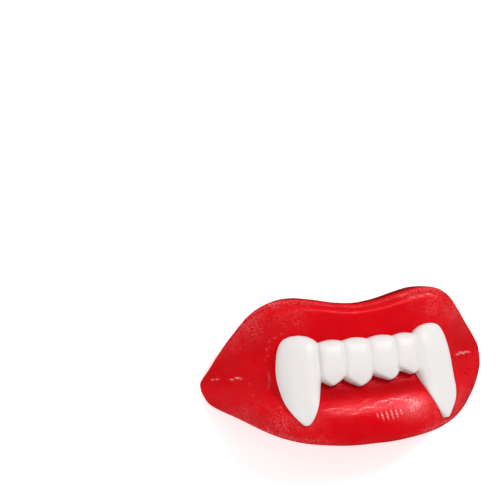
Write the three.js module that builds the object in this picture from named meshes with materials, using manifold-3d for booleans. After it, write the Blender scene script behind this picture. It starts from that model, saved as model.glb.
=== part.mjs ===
// Joke-shop wax lips with vampire teeth: a hollow pair of red wax lips, bent round the
// wearer's teeth like an arch, with a bite tab behind and a row of white wax teeth let into
// the front. It lies on its back, on its two mouth corners and the end of the tab.
//
// X runs from mouth corner to mouth corner, Y from chin to nose, and Z out of the mouth.
// The lips are drawn flat and then bent. A place on them is (along, up, out): the length
// along the bend from the middle, the height above the line through the corners, and the
// distance out from the bent sheet. All lengths are millimetres and all angles radians.
import * as THREE from "three";
import { mergeVertices } from "three/addons/utils/BufferGeometryUtils.js";
import Module from "manifold-3d";

// The lips
const LIPS_WIDTH = 95; // mouth corner to mouth corner, straight across
const UPPER_LIP = 22; // height of the two peaks over the line through the corners
const LOWER_LIP = 27.1; // depth of the lower lip under that line
const MOUTH_DROP = 1.1; // depth of the mouth line's middle under it
const WALL = 3; // thickness of the wax
const UPPER_CREST = 3.5; // how far the upper lip's roll stands out of the bent sheet
const LOWER_CREST = 4; // the same for the lower lip
const MOUTH_VALLEY = 0.8; // how far the mouth line lies behind the sheet
const UPPER_RIM = 7; // how far the upper rim reaches back behind the sheet, in the middle
const UPPER_FLARE = 1.2; // how much higher the upper rim is at its back edge
const LOWER_RIM = 3.2; // how far the lower rim reaches back behind the sheet
const LOWER_TUCK = 1.8; // how much the lower rim turns in towards its back edge
const RIM_ROUND = 0.9; // rounding of the rims' back edges
const CORNER_ROUND = 3.4; // length over which a mouth corner rounds off
const CORNER_BLUNTNESS = 2.4; // 2 is a round corner, and more is squarer

// The bend, along one half
const BEND_START = 10.2; // length along to where the flat front ends
const BEND_LENGTH = 28.8; // length over which it turns
const WING_ANGLE = 0.877; // how far back the wings are turned

// The bite tab
const TAB_WIDTH = 25;
const TAB_THICKNESS = 7.5;
const TAB_CORNER = 3.2; // radius of its long edges
const TAB_DROP = 8.5; // depth of its middle under the line through the corners

// The teeth
const INCISOR_WIDTH = 7.75;
const INCISOR_TOP = 6.8; // height of their tops over the line through the corners
const INCISOR_LENGTH = 14.5;
const FANG_WIDTH = 12.8;
const FANG_TOP = 9.2;
const FANG_LENGTH = 29.5;
const TEETH_SHIFT = 0.6; // how far the middle of the row sits from the middle of the lips
const TEETH_OVERLAP = 1.6; // how much each tooth runs into the next
const TEETH_PROUD = 0.7; // how far the teeth stand out past the lower lip's crest
const TOOTH_EDGE = 0.6; // height of the teeth's upright edge over the wax around them
const BED_DEPTH = 0.8; // depth of the bed that the teeth are set into
const SEAT_GAP = 0.3; // clearance between the teeth and their bed
const FANG_DENT = 0.6; // depth of the hollow that each fang's point presses into the lip
const FANG_DENT_RADIUS = 4;

const FOOT_TRIM = 0.9; // how much of the mouth corners is cut flat to stand on
const RED_WAX = 0xc8040f;
const WHITE_WAX = 0xf1eeea;

// Sections of one half of the lips. along: share of the half length. top, bottom and mouth:
// shares of UPPER_LIP, LOWER_LIP and MOUTH_DROP. crest: share of the relief's height. rim:
// share of UPPER_RIM. hollow: how much of the full hollow is left behind the wall.
const LIP_SECTIONS = [
  { along: 0.0, top: 0.843, bottom: 1.0, mouth: 1.0, crest: 1.0, rim: 1.0, hollow: 1.0 },
  { along: 0.115, top: 0.874, bottom: 0.997, mouth: 1.0, crest: 1.0, rim: 1.0, hollow: 1.0 },
  { along: 0.24, top: 0.948, bottom: 0.968, mouth: 1.0, crest: 1.0, rim: 1.0, hollow: 1.0 },
  { along: 0.365, top: 1.0, bottom: 0.916, mouth: 1.0, crest: 0.97, rim: 0.97, hollow: 1.0 },
  { along: 0.48, top: 0.982, bottom: 0.832, mouth: 1.0, crest: 0.9, rim: 0.92, hollow: 1.0 },
  { along: 0.595, top: 0.867, bottom: 0.713, mouth: 1.0, crest: 0.8, rim: 0.84, hollow: 0.9 },
  { along: 0.72, top: 0.638, bottom: 0.566, mouth: 0.85, crest: 0.66, rim: 0.72, hollow: 0.6 },
  { along: 0.845, top: 0.388, bottom: 0.41, mouth: 0.5, crest: 0.45, rim: 0.58, hollow: 0.15 },
  { along: 0.95, top: 0.155, bottom: 0.25, mouth: 0.1, crest: 0.2, rim: 0.48, hollow: 0.0 },
  { along: 1.0, top: 0.1, bottom: 0.09, mouth: 0.0, crest: 0.05, rim: 0.45, hollow: 0.0 },
];

// The lips' roll. across: share of the way from the mouth line to the lip's edge. rise:
// share of the height from the mouth's valley to the crest. The upper lip has a narrow
// groove and a ridge just inside its edge.
const UPPER_ROLL = [
  { across: 0.0, rise: 0.0 },
  { across: 0.2, rise: 0.07 },
  { across: 0.4, rise: 0.32 },
  { across: 0.6, rise: 0.7 },
  { across: 0.76, rise: 0.96 },
  { across: 0.84, rise: 1.0 },
  { across: 0.9, rise: 0.88 },
  { across: 0.93, rise: 0.78 },
  { across: 0.965, rise: 0.84 },
  { across: 1.0, rise: 0.6 },
];
const LOWER_ROLL = [
  { across: 0.0, rise: 0.0 },
  { across: 0.15, rise: 0.05 },
  { across: 0.3, rise: 0.3 },
  { across: 0.45, rise: 0.74 },
  { across: 0.6, rise: 0.98 },
  { across: 0.7, rise: 1.0 },
  { across: 0.8, rise: 0.9 },
  { across: 0.9, rise: 0.67 },
  { across: 0.96, rise: 0.45 },
  { across: 1.0, rise: 0.18 },
];

// The bite tab, from its free end to the lips. along: share of its length. width and
// thickness: shares of TAB_WIDTH and TAB_THICKNESS. It is waisted where it is bitten.
const TAB_SECTIONS = [
  { along: 0.0, width: 0.98, thickness: 0.98 },
  { along: 0.2, width: 1.0, thickness: 1.0 },
  { along: 0.4, width: 0.97, thickness: 0.84 },
  { along: 0.6, width: 0.98, thickness: 0.86 },
  { along: 0.8, width: 1.04, thickness: 1.0 },
  { along: 1.0, width: 1.25, thickness: 1.3 },
];

// The teeth from -X to +X. width and length: shares of INCISOR_WIDTH and INCISOR_LENGTH, or
// of FANG_WIDTH and FANG_LENGTH. lean: how far its lower end is bent towards +X, as a share
// of its width. The row is cast by hand, so no two teeth are the same.
const TEETH = [
  { fang: true, width: 1.07, length: 0.97, lean: 0.03 },
  { fang: false, width: 0.99, length: 1.0, lean: -0.06 },
  { fang: false, width: 1.08, length: 1.07, lean: -0.01 },
  { fang: false, width: 1.1, length: 1.0, lean: 0.03 },
  { fang: false, width: 0.83, length: 0.92, lean: -0.01 },
  { fang: true, width: 1.01, length: 1.035, lean: 0.1 },
];

// A tooth, from top to bottom. down: share of the tooth's length. inner and outer: shares
// of its width, from its middle line towards and away from the middle of the mouth. front:
// share of how far the teeth stand out of the bent sheet.
const INCISOR_SECTIONS = [
  { down: 0.004, inner: 0.14, outer: 0.14, front: 0.46 },
  { down: 0.03, inner: 0.33, outer: 0.33, front: 0.62 },
  { down: 0.08, inner: 0.46, outer: 0.46, front: 0.78 },
  { down: 0.16, inner: 0.5, outer: 0.5, front: 0.92 },
  { down: 0.32, inner: 0.5, outer: 0.5, front: 1.0 },
  { down: 0.52, inner: 0.5, outer: 0.5, front: 1.0 },
  { down: 0.7, inner: 0.5, outer: 0.5, front: 0.96 },
  { down: 0.82, inner: 0.46, outer: 0.46, front: 0.88 },
  { down: 0.9, inner: 0.31, outer: 0.33, front: 0.8 },
  { down: 0.96, inner: 0.14, outer: 0.18, front: 0.72 },
  { down: 0.995, inner: 0.02, outer: 0.07, front: 0.62 },
];
const FANG_SECTIONS = [
  { down: 0.004, inner: 0.13, outer: 0.1, front: 0.5 },
  { down: 0.025, inner: 0.26, outer: 0.22, front: 0.65 },
  { down: 0.085, inner: 0.43, outer: 0.34, front: 0.82 },
  { down: 0.16, inner: 0.5, outer: 0.41, front: 0.94 },
  { down: 0.26, inner: 0.5, outer: 0.465, front: 1.0 },
  { down: 0.37, inner: 0.5, outer: 0.5, front: 1.0 },
  { down: 0.47, inner: 0.48, outer: 0.495, front: 1.0 },
  { down: 0.57, inner: 0.42, outer: 0.45, front: 1.0 },
  { down: 0.67, inner: 0.37, outer: 0.385, front: 1.0 },
  { down: 0.77, inner: 0.315, outer: 0.3, front: 1.0 },
  { down: 0.86, inner: 0.25, outer: 0.2, front: 1.0 },
  { down: 0.93, inner: 0.18, outer: 0.11, front: 0.98 },
  { down: 0.975, inner: 0.12, outer: 0.04, front: 0.93 },
  { down: 0.995, inner: 0.075, outer: -0.005, front: 0.88 },
];
// The band of wax that joins the teeth, from top to bottom, as shares of INCISOR_LENGTH.
const BAND_SECTIONS = [
  { down: 0.06, inner: 0.5, outer: 0.5, front: 0.42 },
  { down: 0.12, inner: 0.5, outer: 0.5, front: 0.54 },
  { down: 0.3, inner: 0.5, outer: 0.5, front: 0.64 },
  { down: 0.6, inner: 0.5, outer: 0.5, front: 0.64 },
  { down: 0.75, inner: 0.5, outer: 0.5, front: 0.5 },
  { down: 0.82, inner: 0.5, outer: 0.5, front: 0.4 },
];

// How finely the shapes are stepped
const BEND_STEPS = 48; // steps of the sum along the bend
const HALF_STATIONS = 21; // sections of one half of the lips, up to where the corner rounds
const CORNER_STATIONS = 4;
const UPPER_POINTS = [0.1, 0.24, 0.38, 0.52, 0.65, 0.76, 0.84, 0.895, 0.93, 0.965, 1];
const LOWER_POINTS = [0, 0.12, 0.24, 0.36, 0.48, 0.6, 0.72, 0.82, 0.9, 0.96, 1];
const INNER_POINTS = 11;
const INCISOR_FORM = { points: 9, roundness: 2.6, ringsPerRow: 1 };
const FANG_FORM = { points: 9, roundness: 2.6, ringsPerRow: 2 };
const BAND_FORM = { points: 21, roundness: 20, ringsPerRow: 1 };
const TAB_STATIONS = 9;
const TAB_CORNER_POINTS = 4;
const FINEST = 0.03; // steps in the surface that are smaller than this are smoothed away

const wasm = await Module();
wasm.setup();

// One column of a table, on a smooth curve through its rows. key is the column that the
// table is in order of.
function readTable(rows, key, name, at) {
  const last = rows.length - 1;
  const x = Math.min(Math.max(at, rows[0][key]), rows[last][key]);
  let i = 0;
  while (i < last - 1 && x > rows[i + 1][key]) i += 1;
  const slope = (k) => {
    if (k === 0) return 0;
    const after = rows[Math.min(k + 1, last)];
    const before = rows[k - 1];
    return (after[name] - before[name]) / (after[key] - before[key]);
  };
  const width = rows[i + 1][key] - rows[i][key];
  const t = (x - rows[i][key]) / width;
  const t2 = t * t;
  const t3 = t2 * t;
  return (
    (2 * t3 - 3 * t2 + 1) * rows[i][name] +
    (t3 - 2 * t2 + t) * width * slope(i) +
    (3 * t2 - 2 * t3) * rows[i + 1][name] +
    (t3 - t2) * width * slope(i + 1)
  );
}

// How far the sheet has turned back at a length along the bend.
function turnAt(along) {
  const t = THREE.MathUtils.clamp((along - BEND_START) / BEND_LENGTH, 0, 1);
  return WING_ANGLE * t * t * (3 - 2 * t);
}

// Where the bent sheet is, seen from above, at a length along it: x across, z forward.
function bendAt(along) {
  const step = along / BEND_STEPS;
  let x = 0;
  let z = 0;
  for (let i = 0; i < BEND_STEPS; i += 1) {
    const turn = turnAt((i + 0.5) * step);
    x += Math.cos(turn) * step;
    z -= Math.sin(turn) * step;
  }
  return { x, z };
}

// The length along one half: the flat front and the bend, then a straight wing that ends
// where the half width is reached.
function halfLengthOf(width) {
  const bendEnd = BEND_START + BEND_LENGTH;
  return bendEnd + (width / 2 - bendAt(bendEnd).x) / Math.cos(WING_ANGLE);
}

const halfLength = halfLengthOf(LIPS_WIDTH);
const teethFront = LOWER_CREST + TEETH_PROUD;
const teeth = layTeeth();
const fangPoints = teeth
  .filter((one) => one.fang)
  .map((one) => ({ along: one.middle + one.bend, up: one.top - one.length }));
const stations = lipStations();
const sheetHeight = -FOOT_TRIM - lowestPoint();

// The sizes and places of the teeth, laid side by side.
function layTeeth() {
  const row = TEETH.map(({ fang, width, length, lean }) => ({
    fang,
    width: width * (fang ? FANG_WIDTH : INCISOR_WIDTH),
    bend: lean * width * (fang ? FANG_WIDTH : INCISOR_WIDTH),
    top: fang ? FANG_TOP : INCISOR_TOP,
    length: length * (fang ? FANG_LENGTH : INCISOR_LENGTH),
    sections: fang ? FANG_SECTIONS : INCISOR_SECTIONS,
    form: fang ? FANG_FORM : INCISOR_FORM,
  }));
  const total = row.reduce((sum, one) => sum + one.width, 0);
  let edge = TEETH_SHIFT - total / 2;
  for (const one of row) {
    one.middle = edge + one.width / 2;
    edge += one.width;
  }
  return row;
}

// The point at (along, up, out) on the bent lips.
function place(along, up, out) {
  const bend = bendAt(Math.abs(along));
  const turn = turnAt(Math.abs(along));
  const x = bend.x + Math.sin(turn) * out;
  return new THREE.Vector3(
    Math.sign(along) * x,
    up,
    sheetHeight + bend.z + Math.cos(turn) * out,
  );
}

// The lips' outline and depths at a length along them.
function sectionAt(along) {
  const share = Math.abs(along) / halfLength;
  const read = (name) => readTable(LIP_SECTIONS, "along", name, share);
  const top = UPPER_LIP * read("top");
  const bottom = -LOWER_LIP * read("bottom");
  const fullness = Math.min(1, (top - bottom) / UPPER_LIP);
  return {
    top,
    bottom,
    flare: UPPER_FLARE * fullness,
    tuck: LOWER_TUCK * fullness,
    mouth: -MOUTH_DROP * read("mouth"),
    crest: read("crest"),
    rim: UPPER_RIM * read("rim"),
    hollow: THREE.MathUtils.clamp(read("hollow"), 0, 1),
  };
}

// How far out the lips' front is at (along, up).
function frontAt(along, up) {
  const lip = sectionAt(along);
  const upper = up >= lip.mouth;
  const edge = upper ? lip.top - lip.flare : lip.bottom;
  const across = Math.min(1, (up - lip.mouth) / (edge - lip.mouth));
  const roll = upper ? UPPER_ROLL : LOWER_ROLL;
  const crest = upper ? UPPER_CREST : LOWER_CREST;
  const rise = readTable(roll, "across", "rise", across);
  let dent = 0;
  for (const point of fangPoints) {
    const away = Math.hypot(along - point.along, up - point.up) / FANG_DENT_RADIUS;
    dent += FANG_DENT * Math.exp(-away * away);
  }
  return lip.crest * (rise * (crest + MOUTH_VALLEY) - MOUTH_VALLEY) - dent;
}

// The closed outline of the lips' wall at a length along them, as [up, out] pairs: back
// edge of the upper rim, over the front, back edge of the lower rim, and the hollow side.
function wallOutline(along) {
  const lip = sectionAt(along);
  const { top, bottom, flare, tuck, rim } = lip;
  const wall = Math.min(WALL, (top - bottom) * 0.3);
  const round = Math.min(RIM_ROUND, wall / 3);
  const topFront = top - flare;
  const front = (up) => [up, frontAt(along, up)];
  const outline = [
    [top - round, -rim],
    [top, round - rim],
    [top - flare * 0.35, -rim * 0.35],
  ];
  for (const share of [...UPPER_POINTS].reverse()) {
    outline.push(front(lip.mouth + share * (topFront - lip.mouth)));
  }
  for (const share of LOWER_POINTS) {
    outline.push(front(lip.mouth + share * (bottom - lip.mouth)));
  }
  outline.push(
    [bottom + tuck * 0.35, -LOWER_RIM * 0.55],
    [bottom + tuck, round * 0.6 - LOWER_RIM],
    [bottom + tuck + round, -LOWER_RIM],
    [bottom + tuck + wall - round, -LOWER_RIM],
  );
  const innerTop = topFront - wall;
  const innerBottom = bottom + tuck + wall;
  for (let i = 0; i < INNER_POINTS; i += 1) {
    const share = i / (INNER_POINTS - 1);
    const up = THREE.MathUtils.lerp(innerBottom, innerTop, share);
    const back = round - THREE.MathUtils.lerp(LOWER_RIM, rim, share);
    const out = Math.max(frontAt(along, up) - WALL, back);
    outline.push([up, THREE.MathUtils.lerp(back, out, lip.hollow)]);
  }
  outline.push([top - wall + round, -rim]);
  return outline;
}

// A closed solid through rings of the same number of points, each end closed to a point.
function loft(rings, startPoint, endPoint) {
  const count = rings[0].length;
  const points = [...rings.flat(), startPoint, endPoint];
  const start = points.length - 2;
  const end = points.length - 1;
  const lastRing = (rings.length - 1) * count;
  const faces = [];
  for (let j = 0; j < count; j += 1) {
    const next = (j + 1) % count;
    for (let base = 0; base < lastRing; base += count) {
      faces.push(base + j, base + next, base + count + j);
      faces.push(base + next, base + count + next, base + count + j);
    }
    faces.push(start, next, j);
    faces.push(end, lastRing + j, lastRing + next);
  }
  const geometry = new THREE.BufferGeometry().setFromPoints(points);
  return geometry.setIndex(faces);
}

function toSolid(geometry) {
  const bare = geometry.clone();
  bare.deleteAttribute("normal");
  bare.deleteAttribute("uv");
  const merged = mergeVertices(bare, 1e-4);
  return new wasm.Manifold(
    new wasm.Mesh({
      numProp: 3,
      vertProperties: new Float32Array(merged.attributes.position.array),
      triVerts: new Uint32Array(merged.index.array),
    }),
  );
}

function toGeometry(solid) {
  const mesh = solid.simplify(FINEST).getMesh();
  const geometry = new THREE.BufferGeometry();
  geometry.setAttribute("position", new THREE.BufferAttribute(mesh.vertProperties, 3));
  geometry.setIndex(new THREE.BufferAttribute(mesh.triVerts, 1));
  geometry.computeVertexNormals();
  return geometry;
}

// The lengths at which the lips get a section. size is how much of the section is left
// there, which is less than 1 only where a mouth corner rounds off.
function lipStations() {
  const roundStart = halfLength - CORNER_ROUND;
  const half = [];
  for (let i = 1; i <= HALF_STATIONS; i += 1) {
    half.push({ along: (roundStart * i) / HALF_STATIONS, size: 1 });
  }
  for (let i = 1; i <= CORNER_STATIONS; i += 1) {
    const share = Math.sin((Math.PI / 2) * (i / (CORNER_STATIONS + 0.6)));
    const size = (1 - share ** CORNER_BLUNTNESS) ** (1 / CORNER_BLUNTNESS);
    half.push({ along: roundStart + CORNER_ROUND * share, size });
  }
  const left = half.map(({ along, size }) => ({ along: -along, size })).reverse();
  return [...left, { along: 0, size: 1 }, ...half];
}

// The outline of the lips' wall at a station, as [up, out] pairs, shrunk towards the middle
// of the section's front.
function stationOutline({ along, size }) {
  const lip = sectionAt(along);
  const middle = (lip.top + lip.bottom) / 2;
  return wallOutline(along).map(([up, out]) => [
    THREE.MathUtils.lerp(middle, up, size),
    out * size,
  ]);
}

// The depth of the lips' lowest point behind the middle of the bent sheet.
function lowestPoint() {
  let lowest = 0;
  for (const station of stations) {
    const turn = turnAt(Math.abs(station.along));
    const bend = bendAt(Math.abs(station.along));
    for (const [, out] of stationOutline(station)) {
      lowest = Math.min(lowest, bend.z + Math.cos(turn) * out);
    }
  }
  return lowest;
}

// The hollow lips, without the tab and the bed.
function lipShell() {
  const rings = stations.map((station) =>
    stationOutline(station).map(([up, out]) => place(station.along, up, out)),
  );
  const corner = sectionAt(halfLength);
  const middle = (corner.top + corner.bottom) / 2;
  return loft(rings, place(-halfLength, middle, 0), place(halfLength, middle, 0));
}

// The outline of a rectangle with round corners, anticlockwise from +Z, as [x, y] pairs.
function roundRectangle(width, thickness, radius) {
  const outline = [];
  const corners = [
    [1, 1],
    [-1, 1],
    [-1, -1],
    [1, -1],
  ];
  corners.forEach(([sideX, sideY], quarter) => {
    for (let i = 0; i < TAB_CORNER_POINTS; i += 1) {
      const angle = (Math.PI / 2) * (quarter + i / (TAB_CORNER_POINTS - 1));
      outline.push([
        sideX * (width / 2 - radius) + radius * Math.cos(angle),
        sideY * (thickness / 2 - radius) + radius * Math.sin(angle),
      ]);
    }
  });
  return outline;
}

// The bite tab, from below the floor, where it is cut flat, into the middle of the wall.
function biteTab() {
  const below = -1;
  const rootHeight = (x, y) => place(x, y, frontAt(x, y) - WALL * 0.6).z;
  const rings = [];
  for (let i = 0; i < TAB_STATIONS; i += 1) {
    const share = i / (TAB_STATIONS - 1);
    const width = TAB_WIDTH * readTable(TAB_SECTIONS, "along", "width", share);
    const thickness = TAB_THICKNESS * readTable(TAB_SECTIONS, "along", "thickness", share);
    const radius = Math.min(TAB_CORNER, thickness * 0.45);
    rings.push(
      roundRectangle(width, thickness, radius).map(([x, up]) => {
        const y = up - TAB_DROP;
        const z = THREE.MathUtils.lerp(below, rootHeight(x, y), share);
        return new THREE.Vector3(x, y, z);
      }),
    );
  }
  const end = new THREE.Vector3(0, -TAB_DROP, below);
  const root = new THREE.Vector3(0, -TAB_DROP, rootHeight(0, -TAB_DROP));
  return loft(rings, end, root);
}

// A table of a tooth's sections, with a smooth curve's worth of rows put in between.
function fillIn(sections, ringsPerRow) {
  const filled = [];
  for (let i = 0; i <= (sections.length - 1) * ringsPerRow; i += 1) {
    const before = sections[Math.floor(i / ringsPerRow)];
    const after = sections[Math.ceil(i / ringsPerRow)];
    const share = (i % ringsPerRow) / ringsPerRow;
    const down = THREE.MathUtils.lerp(before.down, after.down, share);
    const read = (name) => readTable(sections, "down", name, down);
    filled.push({ down, inner: read("inner"), outer: read("outer"), front: read("front") });
  }
  return filled;
}

// One tooth, or, with grow, the room that it needs in the lips. Its form says how many
// points its rounded front has, how square it is, and how finely its table is filled in.
function tooth(one, grow) {
  const { fang, sections, form, middle, bend, top, length, width } = one;
  const rings = fillIn(sections, form.ringsPerRow).map((row) => {
    const shifted = middle + bend * row.down ** 2;
    const inner = row.inner * (width + TEETH_OVERLAP) + grow;
    const outer = row.outer * (width + (fang ? 0 : TEETH_OVERLAP)) + grow;
    const left = shifted - (middle > 0 ? inner : outer);
    const right = shifted + (middle > 0 ? outer : inner);
    const up = top + grow - row.down * (length + 2 * grow);
    const at = (share) => THREE.MathUtils.lerp(left, right, share);
    const front = [];
    const bed = [];
    for (let i = 0; i < form.points; i += 1) {
      const share = i / (form.points - 1);
      const dome = Math.sqrt(1 - Math.abs(2 * share - 1) ** form.roundness);
      const edge = frontAt(at(share), up) + TOOTH_EDGE;
      const crest = Math.max(teethFront * row.front, edge) + grow;
      front.push(place(at(share), up, THREE.MathUtils.lerp(edge, crest, dome)));
      if (i % 2 === 0) {
        bed.unshift(place(at(share), up, edge - TOOTH_EDGE - BED_DEPTH - grow));
      }
    }
    return [...front, ...bed];
  });
  const middleOfRing = (ring) =>
    ring
      .reduce((sum, point) => sum.add(point), new THREE.Vector3())
      .divideScalar(ring.length);
  const upwards = [...rings].reverse();
  return loft(upwards, middleOfRing(rings.at(-1)), middleOfRing(rings[0]));
}

// All the teeth and the band that joins them, as one solid.
function toothRow(grow) {
  const incisors = teeth.filter((one) => !one.fang);
  const from = incisors[0].middle;
  const to = incisors.at(-1).middle;
  const band = {
    sections: BAND_SECTIONS,
    form: BAND_FORM,
    middle: (from + to) / 2,
    top: INCISOR_TOP,
    length: INCISOR_LENGTH,
    fang: false,
    bend: 0,
    width: to - from + INCISOR_WIDTH,
  };
  return teeth
    .map((one) => toSolid(tooth(one, grow)))
    .reduce((row, one) => row.add(one), toSolid(tooth(band, grow)));
}

function lips() {
  const floorSize = 2 * LIPS_WIDTH;
  const floor = new THREE.BoxGeometry(floorSize, floorSize, floorSize);
  floor.translate(0, 0, -floorSize / 2);
  return toSolid(lipShell())
    .add(toSolid(biteTab()))
    .subtract(toSolid(floor))
    .subtract(toothRow(SEAT_GAP));
}

function named(name, solid, color, roughness) {
  const material = new THREE.MeshStandardMaterial({ color, roughness, metalness: 0 });
  const mesh = new THREE.Mesh(toGeometry(solid), material);
  mesh.name = name;
  return mesh;
}

const lipsMesh = named("lips", lips(), RED_WAX, 0.42);
const teethMesh = named("tooth_row", toothRow(0), WHITE_WAX, 0.45);

// The origin is under the middle of the box that the lips fill.
const group = new THREE.Group();
group.add(lipsMesh, teethMesh);
lipsMesh.geometry.computeBoundingBox();
group.position.y = -lipsMesh.geometry.boundingBox.getCenter(new THREE.Vector3()).y;

export default group;
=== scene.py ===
"""The looks of joke-shop wax lips with vampire teeth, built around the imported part.

The lips are drawn flat and then bent round an arch. A place on them is (along, up, out):
the length along the bend from the middle, the height above the line through the mouth
corners, and the distance out from the bent sheet. All lengths are metres.
"""

import math
from types import SimpleNamespace

import bmesh
import bpy
from bpy.props import FloatProperty, FloatVectorProperty, IntProperty, PointerProperty
from bpy.types import Operator, Panel, PropertyGroup
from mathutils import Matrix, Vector, noise


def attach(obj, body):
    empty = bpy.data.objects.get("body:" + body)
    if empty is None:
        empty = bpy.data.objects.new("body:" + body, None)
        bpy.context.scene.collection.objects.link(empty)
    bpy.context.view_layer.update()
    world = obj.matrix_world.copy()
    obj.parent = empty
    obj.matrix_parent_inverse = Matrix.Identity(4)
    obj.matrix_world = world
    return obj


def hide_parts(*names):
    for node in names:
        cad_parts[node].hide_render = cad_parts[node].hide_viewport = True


bl_info = {
    "name": "Wax Vampire Lips",
    "version": (1, 0, 0),
    "blender": (4, 5, 0),
    "location": "3D View > Sidebar > Wax Lips",
    "description": "Hollow wax lips with a bite tab and a row of wax vampire teeth",
    "category": "Mesh",
}

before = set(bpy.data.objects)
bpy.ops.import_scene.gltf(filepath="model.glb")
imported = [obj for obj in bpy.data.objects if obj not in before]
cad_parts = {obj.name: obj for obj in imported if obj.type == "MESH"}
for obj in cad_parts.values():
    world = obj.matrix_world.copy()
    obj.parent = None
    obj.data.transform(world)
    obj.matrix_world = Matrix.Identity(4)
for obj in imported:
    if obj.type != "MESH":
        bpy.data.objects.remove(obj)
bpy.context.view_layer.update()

MM = 0.001

# The bite tab's making: how much wider than the tab its root starts, how many rings it has
# and how they crowd towards its end, how lumpy it is, and how its end is rounded, as (share
# of its length, share of the rounding). Then how far and how often its root is smoothed
TAB_ROOT = 1.34
TAB_RINGS = 30
TAB_CROWDING = 1.1
TAB_LUMPS = 0.05
TAB_LUMPS_PER_METRE = 150
TAB_END_ROUND = 0.7 * MM
TAB_END_RINGS = ((0.012, 0.1), (0.004, 0.4), (0.0, 1.0))
ROOT_SPREAD = 3
ROOT_PASSES = 8

# Where each point of the lips' outline is. The front goes from 1 at its upper edge to -1 at
# its lower one. The rims, their back edges and the hollow inside have these values
RIM = 1.2
BACK = 1.5
INSIDE = 2.0

# The casting's slow waves on the front and inside. The front's are CALM lower at the corners
WAVES_PER_METRE = 160
INNER_WAVES_PER_METRE = 220
CALM = 0.7

# The bed that the teeth sit in: how much deeper than the teeth it is, and how far inside
# their outline it starts and is at its full depth
BED_GAP = 0.1 * MM
BED_START = 0.35 * MM
BED_FULL = 0.9 * MM

# How far the small marks reach at most along and up, in millimetres, and where they fade out
MARK_REACH = (12, 9)
MARK_FADED = 6

# Painted shade on the lips: the dark groove under the upper edge, and how dark the rim and hollow
# are painted
GROOVE_AT = 0.93
GROOVE_WIDTH = 0.035
GROOVE_SHADE = 0.5
RIM_SHADE = 1.3
INSIDE_SHADE = 0.4

# Where the mouth corners' tilt starts, as a share of the half length
TILT_START = 0.74

# How square the teeth's fronts are: 2 is round
FANG_ROUNDNESS = 3.0
INCISOR_ROUNDNESS = 5.5
BAND_ROUNDNESS = 20

# The teeth's making: rings in each, and points across. Then where on their length the cusps
# bend, and how high over the lips the red shines through
FANG_RINGS = 44
INCISOR_RINGS = 30
POINTS_ACROSS = 25
CUSP_START = 0.76
CUSP_FULL = 0.97
BLUSH_FULL = 0.2 * MM
BLUSH_END = 1.6 * MM

# The camera, the lights and the floor
CAMERA_PLACE = (-0.190246, -0.047937, 0.693753)
CAMERA_TURN = (0.154528, -0.216021, -0.121192)
SENSOR_WIDTH = 36.0
CLIP_START = 0.01
KEY_PLACE = (0.32, 0.36, 0.78)
KEY_SIZE = 0.26
FILL_PLACE = (-0.4, -0.08, 0.8)
FILL_SIZE = 0.2
FLOOR_HALF = 2.0
FLOOR_GLOW = 0.45


# Tables. Every row is a section, and the columns are named in the first line.


def table(columns, *rows):
    return {name: [row[i] for row in rows] for i, name in enumerate(columns.split())}


# One half of the lips. along: share of the half length. top, bottom and mouth: shares of
# the upper lip, the lower lip and the mouth's drop. crest: share of the relief's height.
# rim: share of the upper rim. hollow: how much of the full hollow is left behind the wall.
LIP_SECTIONS = table(
    "along top bottom mouth crest rim hollow",
    (0.0, 0.843, 1.0, 1.0, 1.0, 1.0, 1.0),
    (0.115, 0.874, 0.997, 1.0, 1.0, 1.0, 1.0),
    (0.24, 0.948, 0.968, 1.0, 1.0, 1.0, 1.0),
    (0.365, 1.0, 0.916, 1.0, 0.97, 0.97, 1.0),
    (0.48, 0.982, 0.832, 1.0, 0.9, 0.92, 1.0),
    (0.595, 0.867, 0.713, 1.0, 0.8, 0.84, 0.9),
    (0.72, 0.638, 0.566, 0.85, 0.66, 0.72, 0.6),
    (0.845, 0.388, 0.41, 0.5, 0.45, 0.58, 0.15),
    (0.95, 0.155, 0.25, 0.1, 0.2, 0.48, 0.0),
    (1.0, 0.095, 0.118, 0.0, 0.05, 0.45, 0.0),
)
# The lips' roll. across: share of the way from the mouth line to the edge. rise: share of
# the height from the mouth's valley to the crest.
UPPER_ROLL = table(
    "across rise",
    (0.0, 0.0),
    (0.2, 0.07),
    (0.4, 0.32),
    (0.6, 0.7),
    (0.76, 0.96),
    (0.84, 1.0),
    (0.9, 0.85),
    (0.93, 0.7),
    (0.965, 0.84),
    (1.0, 0.6),
)
LOWER_ROLL = table(
    "across rise",
    (0.0, 0.0),
    (0.15, 0.05),
    (0.3, 0.3),
    (0.45, 0.74),
    (0.6, 0.98),
    (0.7, 1.0),
    (0.8, 0.9),
    (0.9, 0.67),
    (0.96, 0.45),
    (1.0, 0.18),
)
# The bite tab, from its free end to the lips. width and thickness: shares of its own.
TAB_SECTIONS = table(
    "along width thickness",
    (0.0, 0.98, 0.98),
    (0.2, 1.0, 1.0),
    (0.4, 0.97, 0.84),
    (0.6, 0.98, 0.86),
    (0.8, 1.04, 1.0),
    (1.0, 1.25, 1.3),
)
# The teeth from -X to +X. width and length: shares of an incisor's or a fang's. lean: how
# far the lower end is bent towards +X, and cusp: how much further its very end is, as
# shares of the width.
TEETH = table(
    "fang width length lean cusp",
    (True, 1.07, 0.97, 0.03, 0.0),
    (False, 0.99, 1.0, -0.06, 0.02),
    (False, 1.08, 1.07, -0.01, 0.1),
    (False, 1.1, 1.0, 0.03, 0.16),
    (False, 0.83, 0.92, -0.01, 0.26),
    (True, 1.01, 1.035, 0.1, 0.0),
)
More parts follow.
